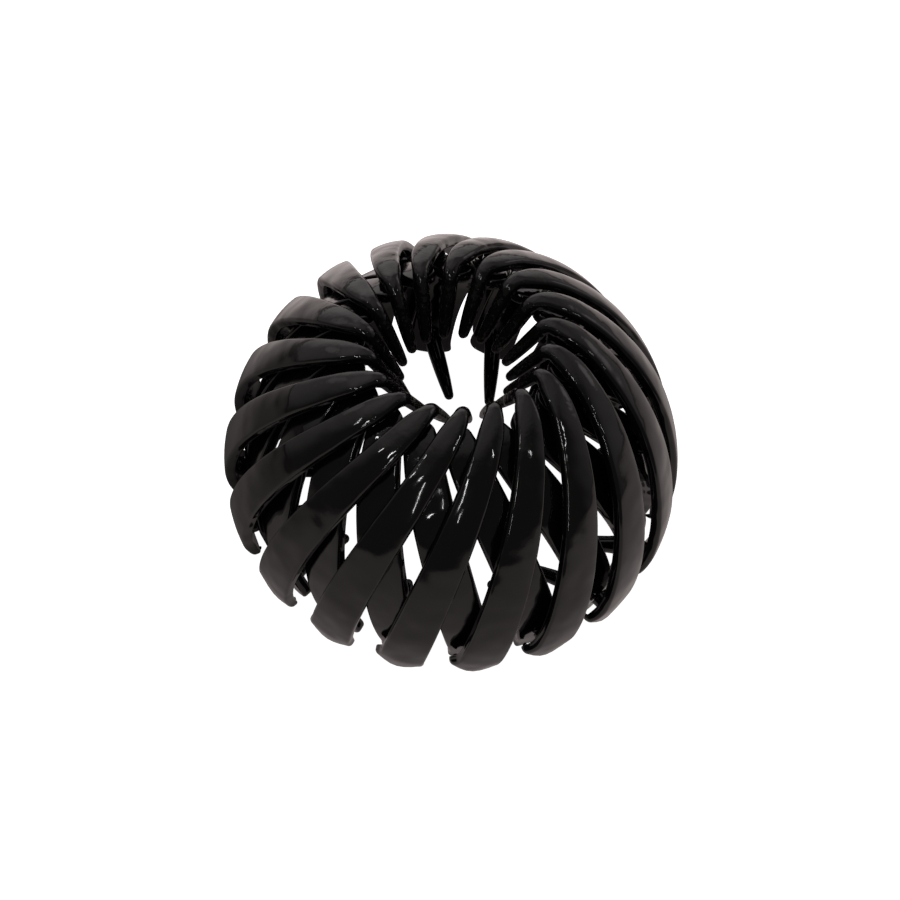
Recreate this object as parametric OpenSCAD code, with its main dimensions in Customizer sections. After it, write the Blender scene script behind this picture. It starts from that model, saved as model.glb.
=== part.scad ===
// Expanding bun clip, closed: a low dome-shaped ring of eighteen outer slats that lean one way
// and eighteen inner slats that lean the other way behind them, riveted where they cross.
// Each outer slat bends over at the crown into a tooth, and each inner slat has a tooth near its foot.
// The ring's axis is Z, and the feet stand on Z = 0.

/* [Ring] */
// Radius of the ring of feet, at the middle of an outer slat
foot_radius = 39; // [38.5:0.5:41]
// Slope of an outer slat at its foot, in degrees from level
foot_slope = 68; // [64:1:69]
// Distance from the middle of an outer slat to the middle of an inner one
layer_step = 3.9; // [3.6:0.1:4.2]

/* [Slats] */
// Thickness of every slat
slat_t = 2.4; // [2:0.1:2.6]
// Width of the flat that is taken off each long edge
edge_cut = 0.6; // [0.3:0.1:0.8]
// Width of an outer slat above its foot
outer_foot_w = 8.7; // [8:0.1:9]
// Width of an outer slat at the crown
outer_crown_w = 4.2; // [3.8:0.1:4.6]
// How late an outer slat narrows towards the crown, where 1 is evenly
outer_taper = 1.6; // [1:0.1:2.5]
// Width of an inner slat above its foot
inner_foot_w = 8.3; // [7.4:0.1:8.5]
// Width of an inner slat at the crown
inner_crown_w = 5.1; // [4.6:0.1:5.3]
// How late an inner slat narrows towards the crown, where 1 is evenly
inner_taper = 5; // [1:0.5:6]
// How far a foot spreads beyond the left edge of its slat, seen from outside
foot_spread = 1; // [0.4:0.1:1.4]
// Share of an outer slat's length at which an inner slat ends
inner_reach = 0.97; // [0.92:0.01:0.98]

/* [Lean] */
// Lean of an outer slat from upright, at its foot
outer_foot_lean = 10.5; // [10:0.5:12]
// Lean of an outer slat from upright, at the crown
outer_crown_lean = 26; // [25:0.5:28]
// Lean of an inner slat from upright, at its foot
inner_foot_lean = 9.5; // [9:0.5:11]
// Lean of an inner slat from upright, at the crown
inner_crown_lean = 22; // [21:0.5:24]

/* [Crown teeth] */
// Radius of the bend between a slat and its tooth
knuckle_r = 2.5; // [2.2:0.1:2.8]
// Degrees that the slat turns down into its tooth
knuckle_turn = 74; // [68:1:78]
// Straight length of a crown tooth
crown_tooth_l = 12; // [8:0.5:12.5]
// Width of a crown tooth below the bend
crown_tooth_w = 3; // [2.5:0.1:3.2]
// Sideways lean of a crown tooth
crown_tooth_lean = 5; // [0:1:8]

/* [Foot teeth] */
// Height of the root of a foot tooth
foot_tooth_z = 5.8; // [5:0.1:6.5]
// Length of a foot tooth, from the middle of its slat
foot_tooth_l = 15.5; // [12:0.5:16]
// Thickness of a foot tooth at its root
foot_tooth_d = 3.2; // [2.8:0.1:3.4]
// Degrees that a foot tooth falls towards the axis
foot_tooth_fall = 15; // [10:1:15]
// Sideways lean of a foot tooth
foot_tooth_lean = 10; // [5:1:12]

/* [Rivets] */
// Diameter of a rivet's shank
rivet_d = 2; // [1.8:0.1:2.1]
// Clearance round a shank and on each side of the inner slat
rivet_play = 0.15; // [0.1:0.05:0.2]

/* [Hidden] */
$fn = 32;

plastic = "#1b1714";
slats = 18;
pitch = 360 / slats;

// Side outline of an outer slat from its foot up: radius of each bend, and degrees that it turns
bend = 0;
turn = 1;
profile = [
    [29, 28],
    [43, 47],
    [17, 22]
];

// Columns of a point on the side outline
radius = 0;
height = 1;
slope = 2;

// Columns of a place on a slat: its middle, its sideways direction and its outward direction
middle = 0;
across = 1;
outward = 2;

// Foot of a slat: distance up from its end, share of the spread there, and how far the corners are drawn in
above = 0;
spread = 1;
drawn_in = 2;
foot_end = [[0, 1, 1.3], [0.6, 1, 0.4], [1.6, 0.75, 0], [4.2, 0, 0]];
// Share of the spread that the right edge has
right_spread = 0.3;

// Upper ends of the slats: distance back from the end, and the share of the full width there
back = 0;
share = 1;
outer_end = [[2.6, 1], [1.2, 0.96], [0, 0.88]];
inner_end = [[2.6, 1], [1.2, 0.9], [0.4, 0.66], [0, 0.36]];

body_steps = 10;
knuckle_steps = 4;
drift_steps = 60;

function mix(a, b, t) = a + (b - a) * t;
function arc_of(row) = row[bend] * row[turn] * PI / 180;
function length_from(i) = i < len(profile) ? arc_of(profile[i]) + length_from(i + 1) : 0;
slat_len = length_from(0);
inner_start = -2.6;
inner_stop = slat_len * inner_reach;

// Point on the side outline at a distance s from the foot
function outline(s, i = 0, r = foot_radius, z = 0, a = foot_slope) =
    let (
        row = profile[i],
        here = i == len(profile) - 1 || s <= arc_of(row),
        b = a + (here ? s : arc_of(row)) / row[bend] * 180 / PI,
        r2 = r + row[bend] * (sin(b) - sin(a)),
        z2 = z - row[bend] * (cos(b) - cos(a))
    )
    here ? [r2, z2, b] : outline(s - arc_of(row), i + 1, r2, z2, b);

// Table of the distance from the foot and the angle round the axis that the lean has gained by there
function drift_table(foot_lean, crown_lean) =
    let (step = slat_len / drift_steps)
    [for (k = 0, a = 0;
          k <= drift_steps;
          a = a + tan(mix(foot_lean, crown_lean, (k + 0.5) / drift_steps)) * step * 180 / PI
                  / outline((k + 0.5) * step)[radius],
          k = k + 1) [k * step, a]];
outer_drift = drift_table(outer_foot_lean, outer_crown_lean);
inner_drift = drift_table(inner_foot_lean, inner_crown_lean);

// Distance from the foot at which an outer slat crosses the inner slat that is n places on
foot_pin_s = 4;
crossings = 2;
crossing_table = [for (k = [0:drift_steps]) [outer_drift[k][1] + inner_drift[k][1], outer_drift[k][0]]];
function crossing(n) = lookup(n * pitch, crossing_table);

function from_axis(phi) = [cos(phi), sin(phi), 0];
function round_axis(phi) = [-sin(phi), cos(phi), 0];

// Place on a slat: p is a point on the side outline, phi its angle round the axis
function place(p, phi, lean, inset) =
    let (
        up = cos(p[slope]) * from_axis(phi) + [0, 0, sin(p[slope])],
        out = sin(p[slope]) * from_axis(phi) - [0, 0, cos(p[slope])]
    )
    [
        p[radius] * from_axis(phi) + [0, 0, p[height]] - inset * out,
        cos(lean) * round_axis(phi) - sin(lean) * up,
        out
    ];

function outer_lean(s) = mix(outer_foot_lean, outer_crown_lean, s / slat_len);
function inner_lean(s) = -mix(inner_foot_lean, inner_crown_lean, s / slat_len);
function outer_place(s) = place(outline(s), lookup(s, outer_drift), outer_lean(s), 0);
function inner_place(s) = place(outline(s), -lookup(s, inner_drift), inner_lean(s), layer_step);
function outer_width(s) = mix(outer_foot_w, outer_crown_w, pow(s / slat_len, outer_taper));
function inner_width(s) = mix(inner_foot_w, inner_crown_w, pow(max(s, 0) / slat_len, inner_taper));

// Place on the bend and tooth that follow an outer slat, at a distance d from the slat's end
knuckle_len = knuckle_r * knuckle_turn * PI / 180;
function tooth_place(d) =
    let (
        e = outline(slat_len),
        phi = lookup(slat_len, outer_drift),
        on_bend = min(d, knuckle_len),
        straight = d - on_bend,
        a = e[slope] + on_bend / knuckle_r * 180 / PI,
        r = e[radius] + knuckle_r * (sin(a) - sin(e[slope])) + straight * cos(a),
        z = e[height] - knuckle_r * (cos(a) - cos(e[slope])) + straight * sin(a),
        lean = mix(outer_crown_lean, crown_tooth_lean, on_bend / knuckle_len),
        mean_lean = (outer_crown_lean + lean) / 2,
        p = place([r, z, a], phi, lean, 0)
    )
    [p[middle] + (on_bend * tan(mean_lean) + straight * tan(lean)) * round_axis(phi), p[across], p[outward]];

// Corners of a slat's section: left and right are its edges' distances from the middle
function uneven_section(p, left, right, t = slat_t, c = edge_cut) =
    let (v = t / 2)
    [for (q = [[right, v - c], [right - c, v], [c - left, v], [-left, v - c],
               [-left, c - v], [c - left, -v], [right - c, -v], [right, c - v]])
        p[middle] + q[0] * p[across] + q[1] * p[outward]];
function section(p, w, t = slat_t, c = edge_cut) = uneven_section(p, w / 2, w / 2, t, c);

// Section of a foot, for its row of the table and the slat's width
function foot_section(p, w, row) =
    uneven_section(p, w / 2 + foot_spread * row[spread] - row[drawn_in],
                   w / 2 + foot_spread * right_spread * row[spread] - row[drawn_in]);

// Rings of an outer slat: the spread foot, the body, the narrowing end, the bend and the tooth
function outer_rings() = concat(
    [for (e = foot_end) foot_section(outer_place(e[above]), outer_width(e[above]), e)],
    [for (k = [1:body_steps])
        let (s = mix(foot_end[3][above], slat_len - outer_end[0][back], k / body_steps))
        section(outer_place(s), outer_width(s))],
    [for (e = [outer_end[1], outer_end[2]])
        let (s = slat_len - e[back])
        section(outer_place(s), outer_width(s) * e[share])],
    [for (k = [1:knuckle_steps])
        let (t = k / knuckle_steps, start_w = outer_crown_w * outer_end[2][share])
        section(tooth_place(t * knuckle_len), mix(start_w, crown_tooth_w, t * (2 - t)))],
    [for (e = [[0.5, 0.93], [0.85, 0.77], [0.96, 0.58], [1, 0.3]])
        section(tooth_place(knuckle_len + e[0] * crown_tooth_l), crown_tooth_w * e[1],
                slat_t * e[1], edge_cut * e[1])]
);

// Rings of an inner slat: the spread foot, the body and the round end under the crown
function inner_rings() = concat(
    [for (e = foot_end)
        let (s = inner_start + e[above])
        foot_section(inner_place(s), inner_width(s), e)],
    [for (k = [1:body_steps - 1])
        let (s = mix(inner_start + foot_end[3][above], inner_stop - inner_end[0][back], k / body_steps))
        section(inner_place(s), inner_width(s))],
    [for (e = inner_end)
        let (s = inner_stop - e[back])
        section(inner_place(s), inner_width(s) * e[share])]
);

// How far the slats are raised so that the lowest corner of the feet stands on Z = 0
foot_lift = -min([for (ring = concat(outer_rings(), inner_rings()), p = ring) p[2]]);

// Closed solid through a row of eight-cornered rings
module sweep(rings) {
    n = len(rings[0]);
    last = len(rings) - 1;
    polyhedron(
        points = [for (ring = rings, p = ring) p],
        faces = concat(
            [[for (j = [n - 1:-1:0]) j]],
            [for (i = [0:last - 1], j = [0:n - 1])
                let (a = i * n + j, b = i * n + (j + 1) % n)
                each [[a, b, b + n], [a, b + n, a + n]]],
            [[for (j = [0:n - 1]) last * n + j]]
        )
    );
}

// Puts its children on the middle of an outer slat at a distance s and an angle round the axis,
// with +Z pointing inwards through both slats
module at_pin(s, angle) {
    p = outline(s);
    rotate([0, 0, angle])
        translate([p[radius], 0, p[height]])
            rotate([0, -p[slope], 0])
                children();
}

// Where a pin's collar ends, and where its head begins
collar_end = layer_step - slat_t / 2 - rivet_play;
head_start = layer_step + slat_t / 2 + rivet_play;
head_t = 0.7;

// Collar and shank of a pin, moulded in one with its outer slat
module pin(length) {
    cylinder(d = rivet_d + 1.6, h = collar_end);
    cylinder(d = rivet_d, h = length);
}

// Pin that goes right through the inner slat and is spread into a flat head
module rivet() {
    pin(head_start + head_t / 2);
    translate([0, 0, head_start])
        cylinder(d = rivet_d + 1.2, h = head_t);
}

module outer_strip(i) {
    color(plastic)
        rotate([0, 0, pitch * (i - 1)])
            translate([0, 0, foot_lift])
                union() {
                    sweep(outer_rings());
                    at_pin(foot_pin_s, 0) pin(layer_step + slat_t / 2);
                    for (n = [1:crossings])
                        at_pin(crossing(n), lookup(crossing(n), outer_drift)) rivet();
                }
}

// Tapered round tooth with a domed tip, along +Z
module foot_tooth() {
    tip_r = foot_tooth_d * 0.27;
    rotate_extrude()
        polygon(concat(
            [[0, 0], [foot_tooth_d / 2, 0], [foot_tooth_d * 0.46, foot_tooth_l * 0.55]],
            [for (a = [0:22.5:90]) [tip_r * cos(a), foot_tooth_l - tip_r + tip_r * sin(a)]]
        ));
}

module inner_strip(i) {
    root_s = (foot_tooth_z - foot_lift) / sin(foot_slope);
    root = outline(root_s);
    color(plastic)
        rotate([0, 0, pitch * (i - 1)])
            translate([0, 0, foot_lift])
                difference() {
                    union() {
                        sweep(inner_rings());
                        translate([root[radius] - layer_step, 0, foot_tooth_z - foot_lift])
                            rotate([0, 0, foot_tooth_lean])
                                rotate([0, -90 - foot_tooth_fall, 0])
                                    foot_tooth();
                    }
                    at_pin(foot_pin_s, 0)
                        cylinder(d = rivet_d + 2 * rivet_play, h = head_start);
                    for (n = [1:crossings])
                        at_pin(crossing(n), -lookup(crossing(n), inner_drift))
                            cylinder(d = rivet_d + 2 * rivet_play, h = layer_step * 2);
                }
}

function two_digits(i) = i < 10 ? str("0", i) : str(i);
for (i = [1:slats]) {
    outer_strip(i);
    inner_strip(i);
}
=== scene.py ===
# An expanding bun clip, closed, in glossy black plastic: eighteen outer slats over eighteen inner ones.
import math

import bmesh
import bpy
from mathutils import Matrix, Vector


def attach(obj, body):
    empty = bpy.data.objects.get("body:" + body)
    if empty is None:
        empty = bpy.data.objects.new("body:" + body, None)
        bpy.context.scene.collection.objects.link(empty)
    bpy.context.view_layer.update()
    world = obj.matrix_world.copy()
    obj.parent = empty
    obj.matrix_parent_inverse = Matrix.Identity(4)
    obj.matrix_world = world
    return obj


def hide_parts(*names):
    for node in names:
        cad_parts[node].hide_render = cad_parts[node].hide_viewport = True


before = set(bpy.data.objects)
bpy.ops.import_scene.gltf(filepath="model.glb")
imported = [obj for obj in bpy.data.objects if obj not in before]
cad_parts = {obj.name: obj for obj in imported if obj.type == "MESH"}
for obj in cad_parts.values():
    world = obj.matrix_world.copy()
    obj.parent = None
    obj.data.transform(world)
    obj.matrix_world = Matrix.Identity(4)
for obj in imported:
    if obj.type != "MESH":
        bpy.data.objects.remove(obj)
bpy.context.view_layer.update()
print("frame loaded with", len(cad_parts), "solids")

mm = 0.001
slatCount = 18
pitch = 360 / slatCount

# side outline of an outer slat from the foot up, in mm and degrees: each bend is a radius and its turn
ring = {
    "footRadius": 39.0,
    "footSlope": 68.0,
    "bends": ((29, 28), (43, 47), (17, 22)),
    "layerStep": 3.9,
    "thickness": 2.4,
    "lift": 1.581,
}
slatLength = sum(math.radians(turn) * bend for bend, turn in ring["bends"])


def mix(a, b, t):
    return a + (b - a) * t


def outline(distance):
    # radius, height and slope in degrees, at a distance along the side outline
    radius, height, slope = ring["footRadius"], ring["lift"], ring["footSlope"]
    for step, (bend, turn) in enumerate(ring["bends"]):
        last = step == len(ring["bends"]) - 1
        part = distance if last else min(distance, bend * math.radians(turn))
        after = slope + math.degrees(part / bend)
        radius += bend * (math.sin(math.radians(after)) - math.sin(math.radians(slope)))
        height -= bend * (math.cos(math.radians(after)) - math.cos(math.radians(slope)))
        slope, distance = after, distance - part
        if distance <= 0:
            break
    return radius, height, slope


def driftTable(footLean, crownLean, steps=240):
    # angle round the axis that a leaning slat has gained by each step
    table, angle = [0.0], 0.0
    for step in range(steps):
        share = (step + 0.5) / steps
        lean = math.radians(mix(footLean, crownLean, share))
        angle += math.degrees(math.tan(lean) * slatLength / steps / outline(share * slatLength)[0])
        table.append(angle)
    return table


def readTable(table, distance):
    at = min(max(distance / slatLength, 0), 1) * (len(table) - 1)
    low = min(int(at), len(table) - 2)
    return mix(table[low], table[low + 1], at - low)


def placeOn(point, angle, lean, inset=0.0, sideways=0.0):
    # X runs across the slat, Y outwards, and Z down it towards the foot
    radius, height, slope = point
    phi, a, tilt = math.radians(angle), math.radians(slope), math.radians(lean)
    fromAxis = Vector((math.cos(phi), math.sin(phi), 0))
    roundAxis = Vector((-math.sin(phi), math.cos(phi), 0))
    upSlat = fromAxis * math.cos(a) + Vector((0, 0, math.sin(a)))
    outward = fromAxis * math.sin(a) - Vector((0, 0, math.cos(a)))
    across = roundAxis * math.cos(tilt) - upSlat * math.sin(tilt)
    place = Matrix((across, outward, across.cross(outward))).transposed().to_4x4()
    place.translation = fromAxis * radius + Vector((0, 0, height)) - outward * inset + roundAxis * sideways
    return place


def endInset(distance, rounding):
    # how far an edge draws in at a distance from a rounded end
    if distance >= rounding:
        return 0.0
    return rounding - math.sqrt(max(0.0, rounding ** 2 - (rounding - distance) ** 2))


# a corner's radius is at most these shares of the half thickness and the width, and the inner face swells
# by no more than innerSwell
section = {"cornerSteps": 5, "faceSteps": 6, "thickShare": 0.98, "widthShare": 0.49, "innerSwell": 0.12}


def slatSection(left, right, halfThick, rounding, swell, bow=0.0, curls=(0.0, 0.0), thinned=0.0):
    # a flat bar's section, going round from the right-hand edge: round corners, the outer face swollen,
    # the inner one nearly flat, the middle bowed down the slat, and the edges thinned and curled inwards
    cornerSteps, faceSteps = section["cornerSteps"], section["faceSteps"]
    r = min(rounding, halfThick * section["thickShare"], (left + right) * section["widthShare"])
    points = []
    for cornerX, side, start in ((right, 1, 0), (-left, 1, 90), (-left, -1, 180), (right, -1, 270)):
        inX = cornerX - math.copysign(r, cornerX)
        for step in range(cornerSteps + 1):
            turn = math.radians(start + 90 * step / cornerSteps)
            points.append([inX + r * math.cos(turn), side * (halfThick - r) + r * math.sin(turn), 0])
        if start in (0, 180):
            for step in range(1, faceSteps):
                share = step / faceSteps if start == 0 else 1 - step / faceSteps
                points.append([mix(right - r, r - left, share), side * halfThick, 0])
    middle, half = (right - left) / 2, (right + left) / 2
    for point in points:
        fromMiddle = ((point[0] - middle) / half) ** 2
        curl = curls[0] if point[0] < middle else curls[1]
        drawnIn = swell if point[1] > 0 else -min(swell, section["innerSwell"]) - thinned
        point[1] -= drawnIn * fromMiddle + curl * fromMiddle
        point[2] = bow * (1 - fromMiddle)
    return points


def roundSection(radius, steps):
    turns = [math.tau * k / steps for k in range(steps)]
    return [[radius * math.cos(turn), radius * math.sin(turn), 0] for turn in turns]


def sweep(stations):
    # extrudes an edge loop from station to station: each is a matrix and the section's points in it
    bm = bmesh.new()
    order = bm.verts.layers.int.new("order")
    loop = bmesh.ops.create_circle(bm, cap_ends=False, segments=len(stations[0][1]), radius=1)["verts"]
    for number, vert in enumerate(loop):
        vert[order] = number
    edges = list(bm.edges)
    for number, (place, points) in enumerate(stations):
        if number:
            grown = bmesh.ops.extrude_edge_only(bm, edges=edges)["geom"]
            loop = [part for part in grown if isinstance(part, bmesh.types.BMVert)]
            edges = [part for part in grown if isinstance(part, bmesh.types.BMEdge)
                     and all(v in loop for v in part.verts)]
        for vert in loop:
            vert.co = place @ Vector(points[vert[order]])
    bmesh.ops.holes_fill(bm, edges=[e for e in bm.edges if e.is_boundary], sides=0)
    bmesh.ops.recalc_face_normals(bm, faces=list(bm.faces))
    return bm


def toMesh(bm, name):
    mesh = bpy.data.meshes.new(name)
    bm.to_mesh(mesh)
    bm.free()
    return mesh


def carve(base, cutters, operation, name):
    # joins to a slat, or cuts from it, a few closed shapes
    body = bpy.data.objects.new(name, base)
    bpy.context.scene.collection.objects.link(body)
    helpers = []
    for number, cutter in enumerate(cutters):
        helper = bpy.data.objects.new(f"{name}Helper{number}", cutter)
        bpy.context.scene.collection.objects.link(helper)
        step = body.modifiers.new(f"step{number}", "BOOLEAN")
        step.operation, step.solver, step.object = operation, "EXACT", helper
        helpers.append(helper)
    bpy.context.view_layer.update()
    made = bpy.data.meshes.new_from_object(body.evaluated_get(bpy.context.evaluated_depsgraph_get()))
    for helper in helpers + [body]:
        bpy.data.objects.remove(helper)
    return made


# every length of a slat is in mm, and the finished meshes are brought to metres
foot = {
    # the feet of both layers change shape over these lengths from their end up, and the end is rolled
    "spreadLength": 4.6, "bowLength": 3.4, "curlLength": 6.0, "thinLength": 5.0, "flareLength": 5.0,
    "roll": 1.0,
    # how far up each section stands
    "steps": (0, 0.02, 0.07, 0.15, 0.26, 0.4, 0.57, 0.77, 1.0, 1.3, 1.7, 2.2, 2.8, 3.5, 4.4),
}


def slatWidth(form, distance):
    return mix(form["width"], form["crownWidth"], (max(distance, 0) / slatLength) ** form["taper"])


def footSides(half, up, form):
    # left and right edges of a foot at a distance up from its end: spread, with round corners
    fade = max(0.0, 1 - up / foot["spreadLength"])
    fade *= fade * (3 - 2 * fade)
    return [half + spread * fade - endInset(up, corner)
            for spread, corner in zip(form["spread"], form["corner"])]


def footCurve(up, form):
    # how far the end bows down the slat, how far its corners curl inwards, and how much its edges thin
    curled = max(0.0, 1 - up / foot["curlLength"]) ** 2
    return (form["bow"] * max(0.0, 1 - up / foot["bowLength"]), [curl * curled for curl in form["curls"]],
            form["thinned"] * max(0.0, 1 - up / foot["thinLength"]) ** 2)


outerSlat = {
    "start": -0.12, "width": 8.3, "crownWidth": 4.2, "taper": 1.9,
    "footLean": 10.5, "crownLean": 26.0,
    "spread": (1.1, 0.4), "corner": (2.3, 1.9), "bow": 0.7, "curls": (2.1, 1.2), "thinned": 1.0,
    "edge": 0.5, "crownEdge": 0.62,
    "swell": 0.26, "crownSwell": 0.5,
    "noseLength": 3.2, "noseShare": 0.84, "nosePower": 1.6,
    "bodySteps": 50, "noseSteps": 6,
}
knuckle = {"radius": 2.5, "turn": 74.0, "narrowBy": 0.5, "steps": 12}
crownTooth = {
    "length": 12.0, "lean": 5.0, "edge": 0.3, "swell": 0.38,
    # share of the length, width, thickness
    "sections": ((0.0, 3.0, 2.36), (0.12, 2.95, 2.3), (0.28, 2.9, 2.22), (0.45, 2.8, 2.12),
                 (0.6, 2.65, 2.0), (0.74, 2.45, 1.85), (0.84, 2.22, 1.7), (0.91, 2.0, 1.54)),
    "tipTurns": (15, 30, 45, 60, 75, 87), "tipShare": 0.08,
}
outerDrift = driftTable(outerSlat["footLean"], outerSlat["crownLean"])


def placeBeyondCrown(distance):
    # on the bend and the tooth that follow an outer slat
    radius, height, slope = outline(slatLength)
    bendLength = math.radians(knuckle["turn"]) * knuckle["radius"]
    onBend = min(distance, bendLength)
    straight = distance - onBend
    turned = slope + math.degrees(onBend / knuckle["radius"])
    lean = mix(outerSlat["crownLean"], crownTooth["lean"], onBend / bendLength)
    meanLean = (outerSlat["crownLean"] + lean) / 2
    a, b = math.radians(slope), math.radians(turned)
    point = (radius + knuckle["radius"] * (math.sin(b) - math.sin(a)) + straight * math.cos(b),
             height - knuckle["radius"] * (math.cos(b) - math.cos(a)) + straight * math.sin(b), turned)
    sideways = onBend * math.tan(math.radians(meanLean)) + straight * math.tan(math.radians(lean))
    return placeOn(point, readTable(outerDrift, slatLength), lean, 0, sideways)


def outerStations():
    form = outerSlat
    bodySteps, noseSteps, bendSteps = form["bodySteps"], form["noseSteps"], knuckle["steps"]
    halfThick = ring["thickness"] / 2
    stations = []
    low = form["start"] + foot["steps"][-1]
    high = slatLength - form["noseLength"]
    body = [mix(low, high, k / bodySteps) for k in range(1, bodySteps + 1)]
    nose = [high + form["noseLength"] * k / noseSteps for k in range(1, noseSteps + 1)]
    for s in [form["start"] + up for up in foot["steps"]] + body + nose:
        share = s / slatLength
        up = s - form["start"]
        toNose = max(0.0, (s - high) / form["noseLength"])
        half = slatWidth(form, s) / 2 * mix(1, form["noseShare"], toNose ** form["nosePower"])
        left, right = footSides(half, up, form)
        place = placeOn(outline(s), readTable(outerDrift, s), mix(form["footLean"], form["crownLean"], share))
        stations.append((place, slatSection(
            left, right, halfThick - endInset(up, foot["roll"]), mix(form["edge"], form["crownEdge"], share),
            mix(form["swell"], form["crownSwell"], share), *footCurve(up, form))))
    bendLength = math.radians(knuckle["turn"]) * knuckle["radius"]
    startWidth = form["crownWidth"] * form["noseShare"]
    tooth = crownTooth["sections"]
    edge, swell = crownTooth["edge"], crownTooth["swell"]
    for k in range(1, bendSteps + 1):
        t = k / bendSteps
        narrowed = min(1, t / knuckle["narrowBy"])
        half = mix(startWidth, tooth[0][1], narrowed * (2 - narrowed)) / 2
        stations.append((placeBeyondCrown(t * bendLength), slatSection(
            half, half, mix(halfThick, tooth[0][2] / 2, t), mix(form["crownEdge"], tooth[0][2] * edge, t),
            mix(form["crownSwell"], tooth[0][2] * swell, t))))
    for at, width, thick in tooth[1:]:
        stations.append((placeBeyondCrown(bendLength + at * crownTooth["length"]),
                         slatSection(width / 2, width / 2, thick / 2, thick * edge, thick * swell)))
    at, width, thick = tooth[-1]
    for turn in map(math.radians, crownTooth["tipTurns"]):
        reach = mix(at, 1.0, math.sin(turn)) * crownTooth["length"]
        narrow = max(math.cos(turn), crownTooth["tipShare"])
        stations.append((placeBeyondCrown(bendLength + reach), slatSection(
            width / 2 * narrow, width / 2 * narrow, thick / 2 * narrow,
            thick * narrow * edge, thick * narrow * swell)))
    return stations


innerSlat = {
    "start": -2.6, "reach": 1.01, "width": 8.3, "crownWidth": 5.3, "taper": 5.0,
    "footLean": 9.5, "crownLean": 22.0,
    "spread": (0.2, 0.6), "corner": (1.2, 2.8), "bow": 0.35, "curls": (0.3, 0.6), "thinned": 0.5,
    "flare": 0.75,
    "edge": 0.5, "crownEdge": 0.6,
    "endRound": 2.6, "endRoll": 0.8, "endHalfWidth": 0.35,
    "swell": 0.1,
    "bodySteps": 46, "stepsToEnd": (2.6, 2.0, 1.5, 1.1, 0.8, 0.55, 0.36, 0.2, 0.09, 0.02, 0),
}
innerDrift = driftTable(innerSlat["footLean"], innerSlat["crownLean"])


def innerStations():
    form = innerSlat
    bodySteps = form["bodySteps"]
    end = slatLength * form["reach"]
    low, high = form["start"] + foot["steps"][-1], end - form["stepsToEnd"][0]
    distances = ([form["start"] + up for up in foot["steps"]]
                 + [mix(low, high, k / bodySteps) for k in range(1, bodySteps)]
                 + [end - down for down in form["stepsToEnd"]])
    stations = []
    for s in distances:
        share = s / slatLength
        up, toEnd = s - form["start"], end - s
        half = slatWidth(form, s) / 2
        half -= min(endInset(toEnd, form["endRound"]) * half / form["endRound"], half - form["endHalfWidth"])
        left, right = footSides(half, up, form)
        thick = ring["thickness"] / 2 - endInset(up, foot["roll"]) - endInset(toEnd, form["endRoll"])
        flare = form["flare"] * max(0.0, 1 - up / foot["flareLength"]) ** 2
        lean = mix(form["footLean"], form["crownLean"], share)
        place = placeOn(outline(s), -readTable(innerDrift, s), -lean, ring["layerStep"] - flare)
        stations.append((place, slatSection(left, right, thick, mix(form["edge"], form["crownEdge"], share),
                                            form["swell"], *footCurve(up, form))))
    return stations


footTooth = {
    "rootHeight": 5.8, "length": 15.5, "fall": 15.0, "lean": 10.0,
    # distance along it, radius
    "radii": ((0.0, 2.1), (1.3, 2.1), (1.8, 2.0), (2.4, 1.84), (3.2, 1.7), (4.2, 1.6), (6.5, 1.52),
              (9.0, 1.4), (11.5, 1.22), (13.5, 1.03), (14.7, 0.9)),
    "tipTurns": (15, 30, 45, 60, 75, 90), "tipRadius": 0.06,
    "steps": 24,
}


def turnedBody(place, profile, name, steps):
    # a round body: each ring is a distance along Z and a radius
    rings = [(place @ Matrix.Translation((0, 0, d)), roundSection(r, steps)) for d, r in profile]
    return toMesh(sweep(rings), name)


def footToothMesh():
    form = footTooth
    tip = form["radii"][-1][1]
    profile = list(form["radii"])
    for turn in map(math.radians, form["tipTurns"]):
        radius = max(tip * math.cos(turn), form["tipRadius"])
        profile.append((form["length"] - tip + tip * math.sin(turn), radius))
    rootDistance = (form["rootHeight"] - ring["lift"]) / math.sin(math.radians(ring["footSlope"]))
    place = (Matrix.Translation((outline(rootDistance)[0] - ring["layerStep"], 0, form["rootHeight"]))
             @ Matrix.Rotation(math.radians(form["lean"]), 4, "Z")
             @ Matrix.Rotation(math.radians(-90 - form["fall"]), 4, "Y"))
    return turnedBody(place, profile, "footTooth", form["steps"])


pin = {
    "shank": 2.0, "play": 0.15, "collar": 3.6, "head": 3.2, "headThick": 0.7, "footDistance": 4.0,
    "collarEdge": 0.1, "blindEdge": 0.15, "headEdge": 0.06, "shoulder": 0.001,
    # how far below the head's top, and how far in from its rim
    "headRound": ((0.35, 0.0), (0.16, 0.1), (0.05, 0.32), (0.0, 0.7)),
    # distances inwards from the outer slat's middle
    "start": 0.3, "boreStart": 1.0, "boreEnd": 8.0,
    "steps": 32,
}


def crossingDistance(count, halvings=40):
    # where an outer slat crosses the inner slat that is so many places on
    low, high = 0.0, slatLength
    for _ in range(halvings):
        middle = (low + high) / 2
        if readTable(outerDrift, middle) + readTable(innerDrift, middle) < count * pitch:
            low = middle
        else:
            high = middle
    return low


def pinPlace(distance, angle):
    # Z points inwards through both slats
    radius, height, slope = outline(distance)
    return (Matrix.Rotation(math.radians(angle), 4, "Z") @ Matrix.Translation((radius, 0, height))
            @ Matrix.Rotation(math.radians(-slope), 4, "Y"))


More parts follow.
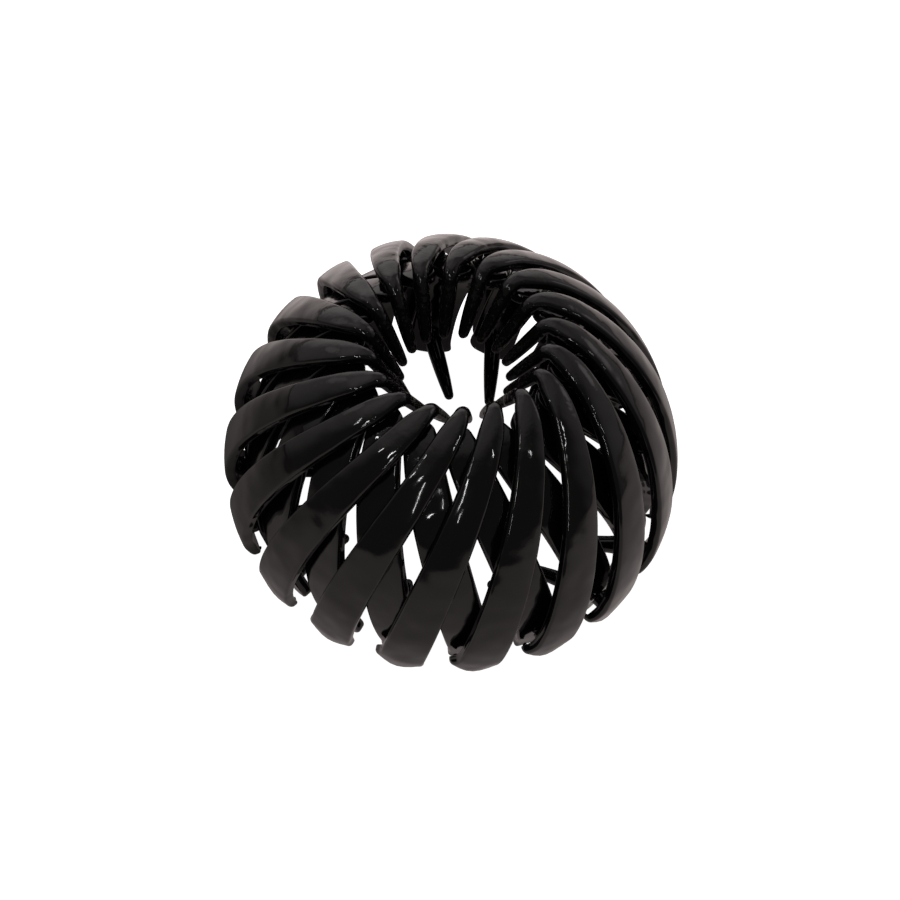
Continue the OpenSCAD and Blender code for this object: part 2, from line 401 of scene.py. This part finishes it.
def pinMesh(place, headed):
    half = ring["thickness"] / 2
    collarEnd = ring["layerStep"] - half - pin["play"]
    headStart = ring["layerStep"] + half + pin["play"]
    shank, collar, head = pin["shank"] / 2, pin["collar"] / 2, pin["head"] / 2
    edge, shoulder = pin["collarEdge"], pin["shoulder"]
    profile = [(pin["start"], collar), (collarEnd - edge, collar), (collarEnd, collar - edge),
               (collarEnd + shoulder, shank)]
    if headed:
        edge, top = pin["headEdge"], headStart + pin["headThick"]
        profile += [(headStart, shank), (headStart + shoulder, head - edge), (headStart + edge, head)]
        profile += [(top - down, head - inset) for down, inset in pin["headRound"]]
    else:
        edge, blindEnd = pin["blindEdge"], ring["layerStep"] + half
        profile += [(blindEnd - edge, shank), (blindEnd, shank - edge)]
    return turnedBody(place, profile, "pin", pin["steps"])


def boreMesh(place, end):
    radius = pin["shank"] / 2 + pin["play"]
    return turnedBody(place, [(pin["boreStart"], radius), (end, radius)], "bore", pin["steps"])


crossings = [crossingDistance(1), crossingDistance(2)]
outerBase = carve(
    toMesh(sweep(outerStations()), "outerSlat"),
    [pinMesh(pinPlace(pin["footDistance"], 0), False)]
    + [pinMesh(pinPlace(s, readTable(outerDrift, s)), True) for s in crossings],
    "UNION", "outerSlatBase")
print("outer slat made with", len(outerBase.polygons), "faces")

innerBase = carve(toMesh(sweep(innerStations()), "innerSlat"), [footToothMesh()], "UNION", "innerSlatBase")
blind = ring["layerStep"] + ring["thickness"] / 2 + pin["play"]
innerBase = carve(
    innerBase,
    [boreMesh(pinPlace(pin["footDistance"], 0), blind)]
    + [boreMesh(pinPlace(s, -readTable(innerDrift, s)), pin["boreEnd"]) for s in crossings],
    "DIFFERENCE", "innerSlatBored")
print("inner slat made with", len(innerBase.polygons), "faces")


def noiseValue(nodes, links, where, scale, detail):
    texture = nodes.new("ShaderNodeTexNoise")
    texture.inputs["Scale"].default_value = scale
    texture.inputs["Detail"].default_value = detail
    links.new(where, texture.inputs["Vector"])
    return texture.outputs["Fac"]


def remap(nodes, links, source, low, high, toLow, toHigh, smooth=False):
    scaled = nodes.new("ShaderNodeMapRange")
    if smooth:
        scaled.interpolation_type = "SMOOTHSTEP"
    for name, value in zip(("From Min", "From Max", "To Min", "To Max"), (low, high, toLow, toHigh)):
        scaled.inputs[name].default_value = value
    links.new(source, scaled.inputs["Value"])
    return scaled.outputs["Result"]


def raised(nodes, links, height, distance, below=None):
    bump = nodes.new("ShaderNodeBump")
    bump.inputs["Strength"].default_value = 1.0
    bump.inputs["Distance"].default_value = distance
    links.new(height, bump.inputs["Height"])
    if below is not None:
        links.new(below, bump.inputs["Normal"])
    return bump.outputs["Normal"]


# moulded plastic, in metres: broad waves from uneven shrinking, ripples on the teeth and crown ends, and
# a polish that isn't even
blackPlastic = {
    "color": (0.0042, 0.0038, 0.0037, 1), "ior": 1.5,
    # each noise is its scale and detail
    "polish": (260.0, 3.0), "polishRange": (0.35, 0.7), "roughness": (0.045, 0.11),
    "waves": (150.0, 1.0), "waveDepth": 0.0006,
    "ripples": (900.0, 1.0), "rippleDepth": 0.00013,
    "grain": (1600.0, 2.0), "grainDepth": 0.000003,
    # the ripples' share on the teeth, the crown and the rest, and the distances from the axis over which
    # one gives way to the next
    "rippleShare": (1.1, 0.4, 0.06), "toothReach": (0.016, 0.019), "crownReach": (0.021, 0.030),
}


def plasticMaterial():
    form = blackPlastic
    material = bpy.data.materials.new("glossyBlackPlastic")
    material.use_nodes = True
    nodes, links = material.node_tree.nodes, material.node_tree.links
    shader = nodes["Principled BSDF"]
    shader.inputs["Base Color"].default_value = form["color"]
    shader.inputs["IOR"].default_value = form["ior"]
    where = nodes.new("ShaderNodeTexCoord").outputs["Object"]
    polish = noiseValue(nodes, links, where, *form["polish"])
    roughness = remap(nodes, links, polish, *form["polishRange"], *form["roughness"])
    links.new(roughness, shader.inputs["Roughness"])
    normal = raised(nodes, links, noiseValue(nodes, links, where, *form["waves"]), form["waveDepth"])
    toAxis = nodes.new("ShaderNodeVectorMath")
    toAxis.operation = "MULTIPLY"
    toAxis.inputs[1].default_value = (1, 1, 0)
    links.new(where, toAxis.inputs[0])
    radius = nodes.new("ShaderNodeVectorMath")
    radius.operation = "LENGTH"
    links.new(toAxis.outputs[0], radius.inputs[0])
    tooth, crown, body = form["rippleShare"]
    share = nodes.new("ShaderNodeMath")
    fromAxis = radius.outputs["Value"]
    links.new(remap(nodes, links, fromAxis, *form["toothReach"], tooth - crown, 0), share.inputs[0])
    links.new(remap(nodes, links, fromAxis, *form["crownReach"], crown, body), share.inputs[1])
    ripple = nodes.new("ShaderNodeMath")
    ripple.operation = "MULTIPLY"
    links.new(noiseValue(nodes, links, where, *form["ripples"]), ripple.inputs[0])
    links.new(share.outputs[0], ripple.inputs[1])
    normal = raised(nodes, links, ripple.outputs[0], form["rippleDepth"], normal)
    grain = noiseValue(nodes, links, where, *form["grain"])
    links.new(raised(nodes, links, grain, form["grainDepth"], normal), shader.inputs["Normal"])
    return material


plastic = plasticMaterial()
mergeDistance = 0.0005
sharpAngle = math.radians(38)


def copyRound(base, kind, cadKind, number):
    bm = bmesh.new()
    bm.from_mesh(base)
    bmesh.ops.remove_doubles(bm, verts=list(bm.verts), dist=mergeDistance)
    bmesh.ops.dissolve_degenerate(bm, edges=list(bm.edges), dist=mergeDistance)
    bmesh.ops.rotate(bm, verts=list(bm.verts), cent=(0, 0, 0),
                     matrix=Matrix.Rotation(math.radians(pitch * (number - 1)), 3, "Z"))
    bmesh.ops.scale(bm, verts=list(bm.verts), vec=(mm, mm, mm))
    for face in bm.faces:
        face.smooth = True
    mesh = toMesh(bm, f"{kind}{number:02d}")
    mesh.set_sharp_from_angle(angle=sharpAngle)
    mesh.materials.clear()
    mesh.materials.append(plastic)
    piece = bpy.data.objects.new(f"{kind}{number:02d}", mesh)
    bpy.context.scene.collection.objects.link(piece)
    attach(piece, "root")
    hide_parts(f"{cadKind}_{number:02d}")


for number in range(1, slatCount + 1):
    copyRound(outerBase, "outerSlat", "outer_strip", number)
    copyRound(innerBase, "innerSlat", "inner_strip", number)
print("slats set round the ring")


# in metres and degrees: a glow is a direction as azimuth and elevation, the angles from it where it is
# full and gone, and its strength; a fade is two distances from the centre of the ring's painted shadow,
# and the light's share at each
studio = {
    "camera": {"elevation": 53.66, "azimuth": -88.7, "distance": 0.6, "aim": (-0.00027, 0.0, 0.01499),
               "focal": 3224.0, "roll": 2.77, "sensor": 36, "picture": 900, "clip": (0.05, 20)},
    "floor": {"size": 3.0, "color": (1.0, 1.0, 1.0, 1)},
    "backdrop": {"radius": 4.0, "color": (0.86, 0.86, 0.86, 1)},
    "room": {"dim": 0.08, "color": (1.0, 0.94, 0.93, 1),
             "glows": (("ceiling", 140, 82, 12, 48, 0.33), ("backWall", 100, 12, 12, 45, 0.75),
                       ("rightWall", 33, 15, 10, 60, 0.25), ("rightStrip", 32, 22, 3, 15, 0.7),
                       ("leftWall", 148, 35, 10, 55, 0.3), ("leftStrip", 152, 32, 3, 14, 0.4))},
    # the table's reflection painted as light on a glowing card: its level, tint, glows, the middle of the
    # ring's painted shadow, and the fades
    "table": {"level": 0.42, "color": (1.0, 0.88, 0.86, 1), "below": 0.0002, "ringShadowCentre": (-0.006, 0.020, 0),
              "glows": (("behind", 97, 0, 12, 65, 0.5), ("right", 0, 0, 10, 60, 0.14),
                        ("left", 172, 0, 15, 50, -0.2)),
              "fades": ((0.034, 0.068, 0.15, 1.0), (0.15, 0.8, 1.0, 0.3))},
    # azimuth, elevation, height and power of each
    "tubes": ((-150, 46, 0.07, 0.1), (-112, 43, 0.09, 0.16), (-96, 29, 0.12, 0.12), (-40, 46, 0.07, 0.08)),
    "tubeWidth": 0.012, "tubeDistance": 0.6,
}


def towards(azimuth, elevation):
    a, e = math.radians(azimuth), math.radians(elevation)
    return Vector((math.cos(e) * math.cos(a), math.cos(e) * math.sin(a), math.sin(e)))


def sumOfGlows(nodes, links, direction, level, glows):
    # level plus, for each glow, a smooth spot of light round its direction
    total = None
    for name, azimuth, elevation, full, gone, strength in glows:
        fullAt, goneAt = math.cos(math.radians(full)), math.cos(math.radians(gone))
        along = nodes.new("ShaderNodeVectorMath")
        along.operation = "DOT_PRODUCT"
        along.label = name
        along.inputs[1].default_value = towards(azimuth, elevation)
        links.new(direction, along.inputs[0])
        spot = remap(nodes, links, along.outputs["Value"], goneAt, fullAt, 0, strength, True)
        add = nodes.new("ShaderNodeMath")
        add.inputs[1].default_value = level
        links.new(spot, add.inputs[0])
        if total is not None:
            links.new(total, add.inputs[1])
        total = add.outputs[0]
    return total


def showOnly(piece, camera=False, glossy=False):
    piece.visible_camera, piece.visible_glossy = camera, glossy
    piece.visible_diffuse = piece.visible_transmission = piece.visible_shadow = False


def stagePiece(name, bm, color):
    piece = bpy.data.objects.new(name, toMesh(bm, name))
    bpy.context.scene.collection.objects.link(piece)
    material = bpy.data.materials.new(name)
    material.use_nodes = True
    shader = material.node_tree.nodes["Principled BSDF"]
    shader.inputs["Base Color"].default_value = color
    shader.inputs["Specular IOR Level"].default_value = 0.0
    shader.inputs["Emission Color"].default_value = color
    shader.inputs["Emission Strength"].default_value = 1.0
    piece.data.materials.append(material)
    return piece


def makeGround():
    floor, backdrop = studio["floor"], studio["backdrop"]
    bm = bmesh.new()
    bmesh.ops.create_grid(bm, x_segments=1, y_segments=1, size=floor["size"])
    showOnly(stagePiece("floor", bm, floor["color"]), camera=True)

    bm = bmesh.new()
    bmesh.ops.create_icosphere(bm, subdivisions=4, radius=backdrop["radius"])
    bmesh.ops.reverse_faces(bm, faces=list(bm.faces))
    showOnly(stagePiece("backdrop", bm, backdrop["color"]), camera=True)


def makeTableShine():
    # a card that only the gloss sees and that glows though it is no lamp: the table's reflection painted as
    # light, brighter behind and on the right, darker on the left, with the ring's shadow painted dark under
    # the ring, and dimmer far away
    form = studio["table"]
    bm = bmesh.new()
    bmesh.ops.create_grid(bm, x_segments=1, y_segments=1, size=studio["floor"]["size"])
    bmesh.ops.translate(bm, verts=list(bm.verts), vec=(0, 0, -form["below"]))
    table = stagePiece("tableShine", bm, (0.0, 0.0, 0.0, 1))
    showOnly(table, glossy=True)
    nodes, links = table.data.materials[0].node_tree.nodes, table.data.materials[0].node_tree.links
    shader = nodes["Principled BSDF"]
    shader.inputs["Emission Color"].default_value = form["color"]
    where = nodes.new("ShaderNodeTexCoord").outputs["Object"]
    away = nodes.new("ShaderNodeVectorMath")
    away.operation = "NORMALIZE"
    links.new(where, away.inputs[0])
    # distance from the middle of the ring's painted shadow
    offset = nodes.new("ShaderNodeVectorMath")
    offset.operation = "SUBTRACT"
    offset.inputs[1].default_value = form["ringShadowCentre"]
    links.new(where, offset.inputs[0])
    reach = nodes.new("ShaderNodeVectorMath")
    reach.operation = "LENGTH"
    links.new(offset.outputs[0], reach.inputs[0])
    level = sumOfGlows(nodes, links, away.outputs[0], form["level"], form["glows"])
    # the ring's shadow painted dark on the card, then the painted light dimming far away
    for fade in form["fades"]:
        times = nodes.new("ShaderNodeMath")
        times.operation = "MULTIPLY"
        links.new(level, times.inputs[0])
        links.new(remap(nodes, links, reach.outputs["Value"], *fade, True), times.inputs[1])
        level = times.outputs[0]
    links.new(level, shader.inputs["Emission Strength"])


def makeRoom():
    form = studio["room"]
    world = bpy.data.worlds.new("softRoom")
    world.use_nodes = True
    nodes, links = world.node_tree.nodes, world.node_tree.links
    where = nodes.new("ShaderNodeTexCoord").outputs["Generated"]
    background = nodes["Background"]
    background.inputs["Color"].default_value = form["color"]
    level = sumOfGlows(nodes, links, where, form["dim"], form["glows"])
    links.new(level, background.inputs["Strength"])
    bpy.context.scene.world = world


def makeTubes():
    for number, (azimuth, elevation, height, power) in enumerate(studio["tubes"]):
        lamp = bpy.data.lights.new(f"tube{number}", "AREA")
        lamp.shape, lamp.energy = "RECTANGLE", power
        lamp.size, lamp.size_y = studio["tubeWidth"], height
        light = bpy.data.objects.new(f"tube{number}", lamp)
        bpy.context.scene.collection.objects.link(light)
        place = towards(azimuth, elevation)
        light.location = place * studio["tubeDistance"]
        light.rotation_euler = place.to_track_quat("Z", "Y").to_euler()
        light.visible_camera = False


def makeCamera():
    scene, view = bpy.context.scene, studio["camera"]
    azimuth, roll = math.radians(view["azimuth"]), math.radians(view["roll"])
    back = towards(view["azimuth"], view["elevation"])
    right = Vector((-math.sin(azimuth), math.cos(azimuth), 0))
    up = back.cross(right)
    turnedRight = right * math.cos(roll) + up * math.sin(roll)
    turnedUp = up * math.cos(roll) - right * math.sin(roll)
    lens = bpy.data.cameras.new("photoCamera")
    lens.sensor_width = view["sensor"]
    lens.lens = view["focal"] / view["picture"] * view["sensor"]
    lens.clip_start, lens.clip_end = view["clip"]
    camera = bpy.data.objects.new("photoCamera", lens)
    scene.collection.objects.link(camera)
    place = Matrix((turnedRight, turnedUp, back)).transposed().to_4x4()
    place.translation = Vector(view["aim"]) + back * view["distance"]
    camera.matrix_world = place
    scene.camera = camera
    scene.view_settings.view_transform = "Standard"


makeGround()
makeTableShine()
makeRoom()
makeTubes()
makeCamera()
print("studio set")
